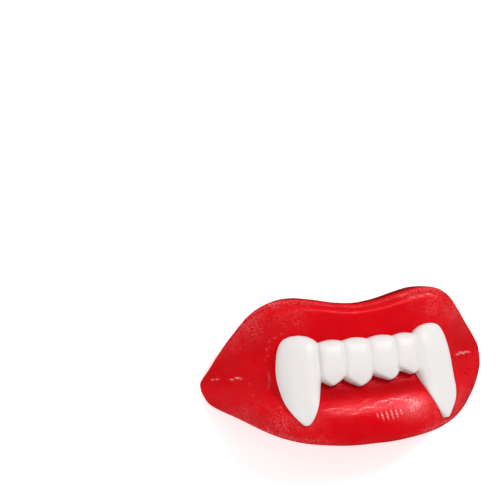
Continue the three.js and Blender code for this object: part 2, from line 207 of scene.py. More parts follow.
# A tooth, from top to bottom. down: share of its length. inner and outer: shares of its
# width, towards and away from the middle of the mouth. front: share of how far it stands out.
INCISOR_SECTIONS = table(
    "down inner outer front",
    (0.004, 0.14, 0.14, 0.46),
    (0.03, 0.33, 0.33, 0.62),
    (0.08, 0.46, 0.46, 0.78),
    (0.16, 0.5, 0.5, 0.92),
    (0.32, 0.5, 0.5, 1.0),
    (0.52, 0.5, 0.5, 1.0),
    (0.7, 0.5, 0.5, 0.96),
    (0.82, 0.46, 0.46, 0.88),
    (0.9, 0.31, 0.33, 0.8),
    (0.96, 0.14, 0.18, 0.72),
    (0.995, 0.02, 0.07, 0.62),
)
FANG_SECTIONS = table(
    "down inner outer front",
    (0.004, 0.13, 0.1, 0.5),
    (0.025, 0.26, 0.22, 0.65),
    (0.085, 0.43, 0.34, 0.82),
    (0.16, 0.5, 0.41, 0.94),
    (0.26, 0.5, 0.465, 1.0),
    (0.37, 0.5, 0.5, 1.0),
    (0.47, 0.48, 0.495, 1.0),
    (0.57, 0.42, 0.45, 1.0),
    (0.67, 0.37, 0.385, 1.0),
    (0.77, 0.315, 0.3, 1.0),
    (0.86, 0.25, 0.2, 1.0),
    (0.93, 0.18, 0.11, 0.98),
    (0.975, 0.12, 0.04, 0.93),
    (0.995, 0.075, -0.005, 0.88),
)
# The band of wax that joins the teeth, as shares of an incisor's length.
BAND_SECTIONS = table(
    "down inner outer front",
    (0.05, 0.5, 0.5, 0.48),
    (0.11, 0.5, 0.5, 0.65),
    (0.25, 0.5, 0.5, 0.82),
    (0.6, 0.5, 0.5, 0.84),
    (0.76, 0.5, 0.5, 0.66),
    (0.83, 0.5, 0.5, 0.46),
)
# Small marks in the wax, in millimetres. along and up: the middle. length and width: its
# size, and height: how far it stands out of the lips, or is sunk in. slant: how far it is
# turned from upright towards +X, in degrees. bright: how much paler the wax is
# painted there, as a painted highlight. Rows with no height are painted highlights alone.
MARKS = table(
    "along up length width height slant bright",
    (1.3, -18.5, 1.6, 0.5, 0.3, 18, 1.1),
    (2.8, -18.8, 2.2, 0.55, 0.45, 16, 1.6),
    (4.4, -18.7, 2.6, 0.55, 0.5, 14, 1.8),
    (6.0, -18.6, 2.7, 0.55, 0.5, 12, 1.9),
    (7.5, -18.4, 2.4, 0.55, 0.45, 12, 1.8),
    (9.0, -18.1, 1.6, 0.5, 0.3, 12, 1.1),
    (12.8, -17.4, 6.0, 9.4, 0.0, 0, 0.72),
    (14.4, -15.6, 3.0, 4.6, 0.0, 0, 0.3),
    (-7.0, -15.8, 2.6, 18.0, 0.0, 4, 0.2),
    (4.5, -14.8, 2.6, 14.0, 0.0, 8, 0.24),
    (12.0, -14.2, 2.2, 8.0, 0.0, 0, 0.22),
    (-13.6, -15.0, 0.45, 5.0, 0.07, 4, 0.8),
    (-8.6, -15.4, 0.4, 4.0, 0.06, -8, 0.8),
    (-10.4, -16.4, 0.4, 3.0, 0.06, 10, 0.48),
    (-6.0, -17.2, 0.45, 3.6, 0.07, 6, 0.8),
    (-3.4, -15.9, 0.4, 3.0, 0.06, 16, 0.8),
    (-0.4, -15.7, 0.45, 4.0, 0.08, -6, 0.96),
    (1.8, -14.6, 0.4, 3.2, 0.06, 24, 0.8),
    (4.2, -14.1, 0.45, 4.0, 0.08, 4, 0.96),
    (6.4, -14.9, 0.4, 3.0, 0.05, 14, 0.64),
    (8.0, -13.9, 0.45, 3.6, 0.08, -10, 0.96),
    (10.8, -13.4, 0.4, 3.4, 0.06, 12, 0.8),
    (11.6, -14.6, 0.4, 3.0, 0.05, -4, 0.64),
    (-1.6, -13.4, 0.4, 2.6, 0.05, 20, 0.48),
    (2.6, -16.2, 0.4, 3.0, 0.05, 4, 0.56),
    (-24.6, 10.4, 0.5, 0.6, -0.15, 0, 0.5),
    (-26.2, 9.5, 0.4, 0.5, -0.15, 0, 0.4),
    (-27.0, 9.4, 0.5, 0.5, -0.2, 20, 0.8),
    (-28.9, 8.5, 0.5, 0.6, -0.2, 40, 0.7),
    (-29.2, 7.1, 0.4, 0.4, -0.15, 0, 0.6),
    (-30.4, 6.3, 0.8, 0.5, -0.25, 12, 0.9),
    (-30.5, 4.3, 0.4, 0.5, -0.15, 0, 0.4),
    (-31.7, 3.2, 0.5, 0.4, -0.2, 0, 0.7),
    (-31.2, -2.4, 3.4, 0.5, -0.2, 2, 0.8),
    (-31.6, -5.2, 1.6, 0.45, -0.2, -6, 0.6),
    (-36.6, -7.4, 0.6, 0.5, -0.2, 0, 0.8),
    (-38.6, -3.5, 0.5, 0.5, -0.15, 0, 0.6),
    (-34.2, -9.6, 0.5, 0.5, -0.15, 0, 0.6),
    (-27.0, -12.6, 0.6, 0.5, -0.15, 0, 0.6),
    (14.6, 18.3, 0.6, 2.2, 0.2, 20, 0.6),
    (17.6, 17.4, 0.6, 2.4, 0.25, -8, 0.9),
    (20.2, 17.7, 0.6, 2.0, 0.25, -14, 1.1),
    (22.8, 18.1, 0.7, 2.6, 0.25, -6, 1.1),
    (25.2, 17.2, 0.6, 1.8, 0.2, 24, 0.7),
    (-53.0, -0.2, 0.5, 1.0, 0.2, 0, 1.3),
    (-51.2, -0.3, 0.5, 1.4, 0.2, 4, 1.2),
    (-45.6, -1.2, 0.5, 1.6, 0.2, -4, 1.5),
    (-43.2, -1.0, 0.5, 1.9, 0.25, -10, 1.6),
    (-42.0, -1.5, 0.4, 1.2, 0.2, 12, 1.0),
    (40.4, -0.8, 0.6, 3.0, 0.3, 6, 1.5),
    (43.6, -0.3, 0.6, 3.6, 0.35, -6, 1.8),
    (46.6, 0.0, 0.6, 3.0, 0.35, 4, 1.8),
    (49.6, 0.1, 0.5, 2.4, 0.3, -6, 1.6),
)


def read(rows, key, name, at):
    """One column of a table, on a smooth curve through its rows."""
    xs, ys = rows[key], rows[name]
    last = len(xs) - 1
    x = min(max(at, xs[0]), xs[last])
    i = 0
    while i < last - 1 and x > xs[i + 1]:
        i += 1

    def slope(k):
        if k == 0:
            return 0.0
        after = min(k + 1, last)
        return (ys[after] - ys[k - 1]) / (xs[after] - xs[k - 1])

    width = xs[i + 1] - xs[i]
    t = (x - xs[i]) / width
    t2, t3 = t * t, t * t * t
    return (
        (2 * t3 - 3 * t2 + 1) * ys[i]
        + (t3 - 2 * t2 + t) * width * slope(i)
        + (3 * t2 - 2 * t3) * ys[i + 1]
        + (t3 - t2) * width * slope(i + 1)
    )


def lerp(a, b, share):
    return a + (b - a) * share


def smooth_step(low, high, at):
    t = min(max((at - low) / (high - low), 0.0), 1.0)
    return t * t * (3 - 2 * t)


# Sizes and colours


def length(name, description, default):
    return FloatProperty(
        name=name, description=description, default=default, unit="LENGTH", precision=5, min=0.0
    )


def color(name, description, default):
    return FloatVectorProperty(
        name=name, description=description, default=default, subtype="COLOR", size=3, min=0, max=1
    )


class WaxLipsForm(PropertyGroup):
    width: length("Width", "From mouth corner to mouth corner", 0.09492)
    upper_lip: length("Upper lip", "Height of the peaks over the line through the corners", 0.022)
    lower_lip: length("Lower lip", "Depth of the lower lip under that line", 0.0271)
    mouth_drop: length("Mouth drop", "Depth of the mouth line in the middle", 0.0011)
    corner_tilt: length("Corner tilt", "How much the right corner is up, and the left down", 0.0012)
    wall: length("Wall", "Thickness of the wax", 0.003)
    upper_crest: length("Upper crest", "How far the upper lip's roll stands out", 0.0035)
    lower_crest: length("Lower crest", "How far the lower lip's roll stands out", 0.004)
    mouth_valley: length("Mouth valley", "How far the mouth line is sunk in", 0.0008)
    upper_rim: length("Upper rim", "How far the upper rim reaches back", 0.007)
    upper_flare: length("Upper flare", "How much higher the upper rim is at its back", 0.0012)
    lower_rim: length("Lower rim", "How far the lower rim reaches back", 0.0032)
    lower_tuck: length("Lower tuck", "How much the lower rim turns in", 0.0018)
    rim_round: length("Rim round", "Rounding of the rims' back edges", 0.0009)
    corner_round: length("Corner round", "Length over which a mouth corner rounds off", 0.0034)
    bend_start: length("Bend start", "Length along to where the flat front ends", 0.0102)
    bend_length: length("Bend length", "Length over which the lips turn back", 0.0288)
    wing_angle: FloatProperty(
        name="Wing angle",
        description="How far back the wings are turned",
        default=0.877,
        subtype="ANGLE",
    )
    fang_dent: length("Fang dent", "Hollow that each fang's point presses into the lip", 0.0006)
    fang_dent_radius: length("Dent radius", "Size of that hollow", 0.004)
    foot_trim: length("Foot trim", "How much of the corners is flat to stand on", 0.0009)
    tab_width: length("Tab width", "Width of the bite tab", 0.025)
    tab_thickness: length("Tab thickness", "Thickness of the bite tab", 0.0075)
    tab_corner: length("Tab corner", "Radius of the tab's long edges", 0.0032)
    tab_drop: length("Tab drop", "Depth of the tab under the line through the corners", 0.0085)
    unevenness: length("Unevenness", "Height of the casting's slow waves", 0.00014)
    rows_across: IntProperty(
        name="Sections", description="Sections in one half of the lips", default=150, min=20
    )


class WaxTeethForm(PropertyGroup):
    incisor_width: length("Incisor width", "Width of an incisor", 0.00775)
    incisor_top: length("Incisor top", "Height of the incisors' tops", 0.0068)
    incisor_length: length("Incisor length", "Length of an incisor", 0.0145)
    fang_width: length("Fang width", "Width of a fang", 0.0128)
    fang_top: length("Fang top", "Height of the fangs' tops", 0.0092)
    fang_length: length("Fang length", "Length of a fang", 0.0295)
    shift: FloatProperty(
        name="Shift",
        description="How far the row sits from the middle of the lips",
        default=0.0006,
        unit="LENGTH",
        precision=5,
    )
    overlap: length("Overlap", "How much each tooth runs into the next", 0.0016)
    proud: length("Proud", "How far the teeth stand out past the lower lip", 0.0007)
    edge: length("Edge", "Height of the teeth's edge over the lips", 0.0006)
    bed_depth: length("Bed depth", "How deep the teeth sit in the lips", 0.0008)
    grain: length("Grain", "Size of the steps in which the teeth are melted together", 0.00022)
    melting: IntProperty(
        name="Melting", description="How often their surface is smoothed", default=11, min=0
    )


class WaxColors(PropertyGroup):
    red: color("Red wax", "The lips", (0.72, 0.001, 0.006))
    # deep_red: the painted shade under the front teeth, in the groove, on the upper rim and inside,
    # and random darker clouds
    deep_red: color("Deep red", "The lips where the wax is thick or in shade", (0.3, 0.0, 0.002))
    # Frost on the wax, and also the colour of the painted highlights on the upper ridge and the
    # small marks
    bloom_and_highlight: color("Bloom", "Frosty speckles on the red wax", (0.95, 0.17, 0.19))
    # The colour of the strongest painted highlights on the small marks
    highlight_pink: color("Highlight", "The palest scratches in the red wax", (0.95, 0.6, 0.6))
    white: color("White wax", "The teeth", (0.8, 0.768, 0.755))
    blush: color("Blush", "The teeth where red wax shines through", (0.84, 0.42, 0.4))
    floor: color("Floor", "The table that the lips lie on", (0.95, 0.95, 0.95))


class WaxStudio(PropertyGroup):
    key_power: FloatProperty(
        name="Key light", description="Power of the large soft light", default=4.0, unit="POWER"
    )
    fill_power: FloatProperty(
        name="Fill light", description="Power of the light opposite", default=1.1, unit="POWER"
    )
    room_light: FloatProperty(
        name="Room light", description="Strength of the light from all round", default=0.56
    )
    lens: FloatProperty(
        name="Lens", description="The camera's focal length", default=158.834, unit="CAMERA"
    )


class LipShape:
    """The lips and the row of teeth as formulas, from the sizes in the sidebar."""

    STEP = 0.1 * MM
    PATH_LENGTH = 80 * MM
    SEARCH_STEPS = 8

    def __init__(self, form, teeth_form):
        self.form = form
        self.teeth_form = teeth_form
        self.path = [(0.0, 0.0)]
        for i in range(round(self.PATH_LENGTH / self.STEP)):
            turn = self.turn((i + 0.5) * self.STEP)
            x, z = self.path[-1]
            self.path.append((x + math.cos(turn) * self.STEP, z - math.sin(turn) * self.STEP))
        bend_end = form.bend_start + form.bend_length
        rest = form.width / 2 - self.bend(bend_end)[0]
        self.half_length = bend_end + rest / math.cos(form.wing_angle)
        self.teeth_front = form.lower_crest + teeth_form.proud
        self.teeth = self.lay_teeth()
        self.dents = [(t.middle + t.bend, t.top - t.length) for t in self.teeth if t.fang]
        self.sheet_height = 0.0
        self.shift_y = 0.0

    def settle(self):
        """Sets the lips down on the floor, and their middle over the origin."""
        rings = LipRings(self)
        stations = rings.stations[: rings.CORNER_SECTIONS + 4] + rings.stations[::9]
        lowest = min(point.z for along, size in stations for point in rings.points(along, size)[0])
        self.sheet_height = -self.form.foot_trim - lowest
        sections = [self.section(along) for along, _ in rings.stations]
        top = max(section.top for section in sections)
        self.shift_y = -(top + min(section.bottom for section in sections)) / 2

    def turn(self, along):
        form = self.form
        return form.wing_angle * smooth_step(
            form.bend_start, form.bend_start + form.bend_length, along
        )

    def bend(self, along):
        i = along / self.STEP
        low = min(int(i), len(self.path) - 2)
        (x0, z0), (x1, z1) = self.path[low], self.path[low + 1]
        return lerp(x0, x1, i - low), lerp(z0, z1, i - low)

    def lay_teeth(self):
        """The sizes and places of the teeth, laid side by side."""
        form = self.teeth_form
        row = []
        for fang, width, long, lean, cusp in zip(*TEETH.values()):
            wide = width * (form.fang_width if fang else form.incisor_width)
            row.append(
                SimpleNamespace(
                    fang=fang,
                    width=wide,
                    bend=lean * wide,
                    cusp=cusp * wide,
                    top=form.fang_top if fang else form.incisor_top,
                    length=long * (form.fang_length if fang else form.incisor_length),
                    sections=FANG_SECTIONS if fang else INCISOR_SECTIONS,
                    roundness=FANG_ROUNDNESS if fang else INCISOR_ROUNDNESS,
                )
            )
        edge = form.shift - sum(one.width for one in row) / 2
        for one in row:
            one.middle = edge + one.width / 2
            edge += one.width
        return row

    def band(self):
        """The band that joins the teeth, in the same terms as a tooth."""
        form = self.teeth_form
        incisors = [one for one in self.teeth if not one.fang]
        first, last = incisors[0].middle, incisors[-1].middle
        return SimpleNamespace(
            fang=False,
            width=last - first + form.incisor_width,
            bend=0.0,
            cusp=0.0,
            top=form.incisor_top,
            length=form.incisor_length,
            sections=BAND_SECTIONS,
            roundness=BAND_ROUNDNESS,
            middle=(first + last) / 2,
        )

    def place(self, along, up, out):
        """The point at (along, up, out) on the bent lips."""
        x, z = self.bend(abs(along))
        turn = self.turn(abs(along))
        return Vector(
            (
                math.copysign(x + math.sin(turn) * out, along),
                up + self.shift_y,
                self.sheet_height + z + math.cos(turn) * out,
            )
        )

    def along_and_out(self, point):
        """The length along and the distance out of a point near the bent sheet."""
        x, z = abs(point.x), point.z - self.sheet_height
        along = x
        for _ in range(self.SEARCH_STEPS):
            path_x, path_z = self.bend(along)
            turn = self.turn(along)
            along += (x - path_x) * math.cos(turn) - (z - path_z) * math.sin(turn)
        out = (x - path_x) * math.sin(turn) + (z - path_z) * math.cos(turn)
        return math.copysign(along, point.x), out

    def section(self, along):
        """The lips' outline and depths at a length along them."""
        form = self.form
        share = abs(along) / self.half_length
        row = {name: read(LIP_SECTIONS, "along", name, share) for name in LIP_SECTIONS}
        lift = math.copysign(form.corner_tilt * smooth_step(TILT_START, 1.0, share), along)
        top = form.upper_lip * row["top"] + lift
        bottom = -form.lower_lip * row["bottom"] + lift
        fullness = min(1.0, (top - bottom) / form.upper_lip)
        return SimpleNamespace(
            top=top,
            bottom=bottom,
            flare=form.upper_flare * fullness,
            tuck=form.lower_tuck * fullness,
            mouth=lift - form.mouth_drop * row["mouth"],
            crest=row["crest"],
            rim=form.upper_rim * row["rim"],
            hollow=min(max(row["hollow"], 0.0), 1.0),
        )

    def across(self, lip, up):
        """How far up is from the mouth line to an edge: 1 at the upper, -1 at the lower."""
        if up >= lip.mouth:
            return min(1.0, (up - lip.mouth) / (lip.top - lip.flare - lip.mouth))
        return -min(1.0, (up - lip.mouth) / (lip.bottom - lip.mouth))

    def front(self, along, up, lip=None):
        """How far out the lips' front is at (along, up)."""
        form = self.form
        lip = lip or self.section(along)
        across = self.across(lip, up)
        roll = UPPER_ROLL if across >= 0 else LOWER_ROLL
        crest = form.upper_crest if across >= 0 else form.lower_crest
        rise = read(roll, "across", "rise", abs(across))
        dent = 0.0
        for point_along, point_up in self.dents:
            away = math.hypot(along - point_along, up - point_up) / form.fang_dent_radius
            dent += form.fang_dent * math.exp(-away * away)
        return lip.crest * (rise * (crest + form.mouth_valley) - form.mouth_valley) - dent

    def tooth_span(self, one, down):
        """The left and right side of a tooth at a share of its length."""
        overlap = self.teeth_form.overlap
        inner = read(one.sections, "down", "inner", down) * (one.width + overlap)
        outer = read(one.sections, "down", "outer", down) * (
            one.width + (0 if one.fang else overlap)
        )
        cusp = one.cusp * smooth_step(CUSP_START, CUSP_FULL, down)
        middle = one.middle + one.bend * down * down + cusp
        if one.middle > 0:
            inner, outer = outer, inner
        return middle - outer, middle + inner

    def under_teeth(self, along, up):
        """How far inside the teeth's outline a place on the lips is, or 0 outside it."""
        deepest = 0.0
        for one in self.teeth:
            down = (one.top - up) / one.length
            if 0.01 < down < 0.99:
                left, right = self.tooth_span(one, down)
                ends = min(down, 1 - down) * one.length
                deepest = max(deepest, min(along - left, right - along, ends))
        return deepest


# Meshes


def extrude_ring(bm, ring, points):
    """Extrudes a ring of vertices once. The new ones are put at points, in the same order."""
    edges = [bm.edges.get((a, b)) for a, b in zip(ring, ring[1:] + ring[:1])]
    made = bmesh.ops.extrude_edge_only(bm, edges=edges)["geom"]
    fresh = {item for item in made if isinstance(item, bmesh.types.BMVert)}
    out = []
    for vert, point in zip(ring, points):
        twin = next(e.other_vert(vert) for e in vert.link_edges if e.other_vert(vert) in fresh)
        twin.co = point
        out.append(twin)
    return out


def close_ring(bm, ring, point=None):
    """Closes a ring of vertices, with a fan round a point or with one flat face."""
    edges = [bm.edges.get((a, b)) for a, b in zip(ring, ring[1:] + ring[:1])]
    face = bmesh.ops.contextual_create(bm, geom=edges)["faces"][0]
    if point is not None:
        middle = bmesh.ops.poke(bm, faces=[face])["verts"][0]
        middle.co = point


def loft(bm, rings, start, end):
    """A closed tube through rings of points, which closes round a point at each end."""
    first = bmesh.ops.create_circle(bm, cap_ends=False, segments=len(rings[0]), radius=MM)
    ring = first["verts"]
    for vert, point in zip(ring, rings[0]):
        vert.co = point
    loops = [ring]
    for points in rings[1:]:
        loops.append(extrude_ring(bm, loops[-1], points))
    close_ring(bm, loops[0], start)
    close_ring(bm, loops[-1], end)
    return loops


def finish_piece(bm, name, material):
    """Makes an object of a bmesh, with its faces outwards and smooth."""
    bmesh.ops.remove_doubles(bm, verts=bm.verts, dist=1e-7)
    bmesh.ops.recalc_face_normals(bm, faces=bm.faces)
    for face in bm.faces:
        face.smooth = True
    mesh = bpy.data.meshes.new(name)
    bm.to_mesh(mesh)
    bm.free()
    mesh.materials.append(material)
    piece = bpy.data.objects.new(name, mesh)
    bpy.context.scene.collection.objects.link(piece)
    return piece


def apply_modifiers(piece):
    """Puts the modifiers' result into the piece's own mesh."""
    graph = bpy.context.evaluated_depsgraph_get()
    mesh = bpy.data.meshes.new_from_object(piece.evaluated_get(graph), depsgraph=graph)
    piece.modifiers.clear()
    piece.data = mesh
    for polygon in mesh.polygons:
        polygon.use_smooth = True


def mean(points):
    total = Vector()
    for point in points:
        total += point
    return total / len(points)


# Shaders


class Value:
    """A shader socket that takes part in sums. Each expression adds its Math nodes."""

    def __init__(self, shader, socket):
        self.shader = shader
        self.socket = socket

    def math(self, operation, *others):
        return self.shader.node(
            "ShaderNodeMath", {"operation": operation}, dict(enumerate((self, *others)))
        )

    def __add__(self, other):
        return self.math("ADD", other)

    def __mul__(self, other):
        return self.math("MULTIPLY", other)

    def __rsub__(self, other):
        return self.shader.node(
            "ShaderNodeMath", {"operation": "SUBTRACT"}, {0: other, 1: self}
        )

    def ramp(self, low, high):
        """0 below low, 1 above high and a soft step between."""
        return self.shader.node(
            "ShaderNodeMapRange",
            {"interpolation_type": "SMOOTHSTEP", "clamp": True},
            {"Value": self, "From Min": low, "From Max": high},
        )


class Shader:
    """A node material for one kind of wax."""

    def __init__(self, name):
        self.material = bpy.data.materials.new(name)
        self.material.use_nodes = True
        self.tree = self.material.node_tree
        self.surface = self.tree.nodes["Principled BSDF"]
        self.coordinates = self.node("ShaderNodeTexCoord", output="Object")

    def node(self, kind, settings=None, values=None, output=0):
        """Adds a node. Its settings are set first, then its sockets' values or links."""
        made = self.tree.nodes.new(kind)
        for name, setting in (settings or {}).items():
            setattr(made, name, setting)
        self.fill(made, values or {})
        return Value(self, made.outputs[output])

    def fill(self, node, values):
        for name, value in values.items():
            socket = node.inputs[name]
            if isinstance(value, Value):
                self.tree.links.new(value.socket, socket)
            elif socket.type == "RGBA":
                socket.default_value = (*value, 1.0)
            else:
                socket.default_value = value

    def noise(self, scale, detail=2.0, roughness=0.5, distortion=0.0, stretch=None):
        where = self.coordinates
        if stretch is not None:
            where = self.node("ShaderNodeMapping", {}, {"Vector": where, "Scale": stretch})
        return self.node(
            "ShaderNodeTexNoise",
            {},
            {
                "Vector": where,
                "Scale": scale,
                "Detail": detail,
                "Roughness": roughness,
                "Distortion": distortion,
            },
        )

    def attribute(self, name):
        return self.node("ShaderNodeAttribute", {"attribute_name": name}, output="Fac")

    def mix(self, factor, low, high):
        made = self.tree.nodes.new("ShaderNodeMix")
        made.data_type = "RGBA"
        sockets = [s for s in made.inputs if s.enabled]
        for socket, value in zip(sockets, (factor, low, high)):
            if isinstance(value, Value):
                self.tree.links.new(value.socket, socket)
            else:
                socket.default_value = (*value, 1.0) if socket.type == "RGBA" else value
        return Value(self, next(s for s in made.outputs if s.enabled))

    def bump(self, height, distance, strength=1.0, normal=None):
        values = {"Height": height, "Distance": distance, "Strength": strength}
        if normal is not None:
            values["Normal"] = normal
        return self.node("ShaderNodeBump", {}, values)


def red_wax(colors):
    """Saturated red paraffin wax, satin, frosted towards the lips' edges, with painted shade in the
    hollows and on the rim, and painted highlights on the upper ridge and the small marks.
    """
    shader = Shader("red_wax")
    reach = shader.attribute("reach")
    near_edge = shader.attribute("edge")
    blotches = shader.noise(170, 3, 0.6)
    speckles = shader.noise(2200, 2, 0.7)
    clouds = shader.noise(60, 2, 0.5)
    frosted = near_edge.ramp(0.35, 0.85) * reach.ramp(0.2, 0.42) * (1 - reach.ramp(0.6, 0.9))
    # Painted highlight along the ridge under the upper edge, mixed in with the frost
    ridge_highlight = near_edge.ramp(0.9, 0.95) * (1 - near_edge.ramp(0.975, 0.995)) * reach.ramp(0.1, 0.4)
    bloom_and_highlight = (frosted * (blotches.ramp(0.42, 0.62) * 0.75 + 0.25) + ridge_highlight * 0.8) * speckles.ramp(
        0.49, 0.57
    )
    # Painted shade: depth darkens the red in the hollow under the front teeth, in the groove under
    # the upper edge, on the upper rim and inside. The clouds are random darker tone.
    depth = shader.attribute("depth")
    thick = depth * 0.6 + clouds.ramp(0.4, 0.7) * 0.12
    body = shader.mix(thick, tuple(colors.red), tuple(colors.deep_red))
    # Painted highlights on the small marks, speckled. The strongest turn towards the highlight
    # colour.
    marks = shader.attribute("bright") * (speckles.ramp(0.42, 0.56) * 0.5 + 0.5)
    tint = shader.mix(bloom_and_highlight * 0.48 + marks * 0.9, body, tuple(colors.bloom_and_highlight))
    tint = shader.mix(marks.ramp(0.5, 1.0) * 0.75, tint, tuple(colors.highlight_pink))
    grain = shader.noise(1100, 4, 0.7)
    scratches = shader.noise(420, 3, 0.6, 0.4, (1.0, 3.0, 1.0))
    rough = shader.noise(240, 2, 0.5)
    skin = shader.bump(grain, 0.07 * MM, 0.55)
    skin = shader.bump(scratches, 0.2 * MM, 0.5, skin)
    shader.fill(
        shader.surface,
        {
            "Base Color": tint,
            "Roughness": rough.ramp(0.3, 0.7) * 0.13 + 0.25 + bloom_and_highlight * 0.2,
            "Normal": skin,
            "IOR": 1.44,
            "Specular IOR Level": 0.5,
            "Specular Tint": (1.0, 0.23, 0.27),
            "Subsurface Weight": 0.25,
            "Subsurface Radius": (1.0, 0.12, 0.08),
            "Subsurface Scale": 1.2 * MM,
        },
    )
    return shader.material


def white_wax(colors):
    """Warm white paraffin wax, with the red of the lips bleeding in at its edges."""
    shader = Shader("white_wax")
    low = shader.attribute("low")
    clouds = shader.noise(120, 2, 0.5)
    blush = low.ramp(0.8, 1.0) * (clouds.ramp(0.35, 0.65) * 0.5 + 0.5)
    tint = shader.mix(blush * 0.6, tuple(colors.white), tuple(colors.blush))
    grain = shader.noise(700, 3, 0.6)
    waves = shader.noise(200, 2, 0.5)
    skin = shader.bump(grain, 0.04 * MM, 0.4)
    skin = shader.bump(waves, 0.25 * MM, 0.35, skin)
    shader.fill(
        shader.surface,
        {
            "Base Color": tint,
            "Roughness": clouds * 0.16 + 0.3,
            "Normal": skin,
            "IOR": 1.44,
            "Specular IOR Level": 0.4,
            "Subsurface Weight": 0.3,
            "Subsurface Radius": (1.0, 0.55, 0.45),
            "Subsurface Scale": 1.4 * MM,
        },
    )
    return shader.material


# The lips


def marks_at(along, up):
    """How far the small marks stand out at a place on the lips, and how strong their painted
    highlight is.
    """
    height, highlight = 0.0, 0.0
    for at, level, long, wide, tall, slant, bright in zip(*MARKS.values()):
        x, y = along / MM - at, up / MM - level
        if abs(x) > MARK_REACH[0] or abs(y) > MARK_REACH[1]:
            continue
        turn = math.radians(slant)
        u = x * math.cos(turn) + y * math.sin(turn)
        v = y * math.cos(turn) - x * math.sin(turn)
        away = (2 * u / wide) ** 2 + (2 * v / long) ** 2
        if away < MARK_FADED:
            height += tall * math.exp(-away)
            highlight += bright * math.exp(-away)
    return height * MM, min(highlight, 1.0)


class LipRings:
    """The outlines of the lips' wall, ring by ring, with what the material needs of them."""

    UPPER_COUNT = 50
    LOWER_COUNT = 66
    RIM_COUNT = 14
    LOWER_RIM_COUNT = 9
    BACK_COUNT = 5
    INNER_COUNT = 40
    CORNER_SECTIONS = 9
    CORNER_BLUNTNESS = 2.4
    EDGE_PASSES = 4
    EDGE_FADE = 10
    DENSER_MIDDLE = 0.5

    def __init__(self, shape):
        self.shape = shape
        form = shape.form
        round_start = shape.half_length - form.corner_round
        half = []
        for i in range(1, form.rows_across + 1):
            share = i / form.rows_across
            half.append((round_start * lerp(share, share * share, self.DENSER_MIDDLE), 1.0))
        for i in range(1, self.CORNER_SECTIONS + 1):
            share = math.sin(math.pi / 2 * i / (self.CORNER_SECTIONS + 0.5))
            size = (1 - share**self.CORNER_BLUNTNESS) ** (1 / self.CORNER_BLUNTNESS)
            half.append((round_start + form.corner_round * share, size))
        self.stations = [(-along, size) for along, size in reversed(half)] + [(0.0, 1.0)] + half

    def outline(self, along):
        """The closed outline at a length along, as rows of (up, out, across)."""
        shape, form = self.shape, self.shape.form
        lip = shape.section(along)
        wall = min(form.wall, (lip.top - lip.bottom) * 0.3)
        top_front = lip.top - lip.flare
        rows = []

        def stretch(points, counts, kind):
            for (up0, out0), (up1, out1), count in zip(points, points[1:], counts):
                for i in range(count):
                    rows.append((lerp(up0, up1, i / count), lerp(out0, out1, i / count), kind))

        def front(up):
            return shape.front(along, up, lip)

        stretch(
            [
                (lip.top, -lip.rim),
                (lip.top - lip.flare * 0.35, -lip.rim * 0.35),
                (top_front, front(top_front)),
            ],
            [self.RIM_COUNT // 2, self.RIM_COUNT // 2],
            RIM,
        )
        for i in range(self.UPPER_COUNT):
            up = lerp(top_front, lip.mouth, i / self.UPPER_COUNT)
            rows.append((up, front(up), shape.across(lip, up)))
        for i in range(self.LOWER_COUNT):
            up = lerp(lip.mouth, lip.bottom, i / self.LOWER_COUNT)
            rows.append((up, front(up), shape.across(lip, up)))
        tuck = lip.bottom + lip.tuck
        stretch(
            [
                (lip.bottom, front(lip.bottom)),
                (lip.bottom + lip.tuck * 0.35, -form.lower_rim * 0.55),
                (tuck, -form.lower_rim),
            ],
            [self.LOWER_RIM_COUNT - 4, 4],
            -RIM,
        )
        inner_bottom, inner_top = tuck + wall, top_front - wall

        def inner(share):
            up = lerp(inner_bottom, inner_top, share)
            back = form.rim_round - lerp(form.lower_rim, lip.rim, share)
            return up, lerp(back, max(front(up) - form.wall, back), lip.hollow)

        bottom_back = (inner_bottom, -form.lower_rim)
        stretch([(tuck, -form.lower_rim), bottom_back], [self.BACK_COUNT], -BACK)
        stretch([bottom_back, inner(0.0)], [self.BACK_COUNT], INSIDE)
        for i in range(self.INNER_COUNT):
            rows.append((*inner(i / self.INNER_COUNT), INSIDE))
        top_back = (lip.top - wall, -lip.rim)
        stretch([inner(1.0), top_back], [self.RIM_COUNT], INSIDE)
        stretch([top_back, (lip.top, -lip.rim)], [self.BACK_COUNT], BACK)
        return self.rounded(rows)

    def rounded(self, rows):
        """Rounds the outline's corners, and leaves the middle of the front as it is."""
        count = len(rows)
        first = self.RIM_COUNT // 2 * 2 + 4
        last = first + self.UPPER_COUNT + self.LOWER_COUNT - 8
        for _ in range(self.EDGE_PASSES):
            rows = [
                row
                if first <= i <= last
                else (
                    (rows[i - 1][0] + 2 * row[0] + rows[(i + 1) % count][0]) / 4,
                    (rows[i - 1][1] + 2 * row[1] + rows[(i + 1) % count][1]) / 4,
                    row[2],
                )
                for i, row in enumerate(rows)
            ]
        return rows

    def points(self, along, size):
        """The places of one ring's points, and the across value and painted highlight of each."""
        shape = self.shape
        lip = shape.section(along)
        middle = (lip.top + lip.bottom) / 2
        places, kinds, highlights = [], [], []
        for up, out, kind in self.outline(along):
            highlight = 0.0
            if abs(kind) <= 1:
                fade = min(1.0, (1 - abs(kind)) * self.EDGE_FADE)
                height, highlight = marks_at(along, up)
                out += height * fade
                calm = 1 - CALM * abs(along) / shape.half_length
                at = Vector((along * WAVES_PER_METRE, up * WAVES_PER_METRE, 0.0))
                out += fade * calm * shape.form.unevenness * noise.noise(at)
                sunk = smooth_step(BED_START, BED_FULL, shape.under_teeth(along, up))
                out -= (shape.teeth_form.bed_depth + BED_GAP) * sunk
            elif kind == INSIDE:
                at = Vector((along * INNER_WAVES_PER_METRE, up * INNER_WAVES_PER_METRE, 7.0))
                out += 0.5 * shape.form.unevenness * noise.noise(at)
            places.append(shape.place(along, lerp(middle, up, size), out * size))
            kinds.append(kind)
            highlights.append(highlight)
        return places, kinds, highlights


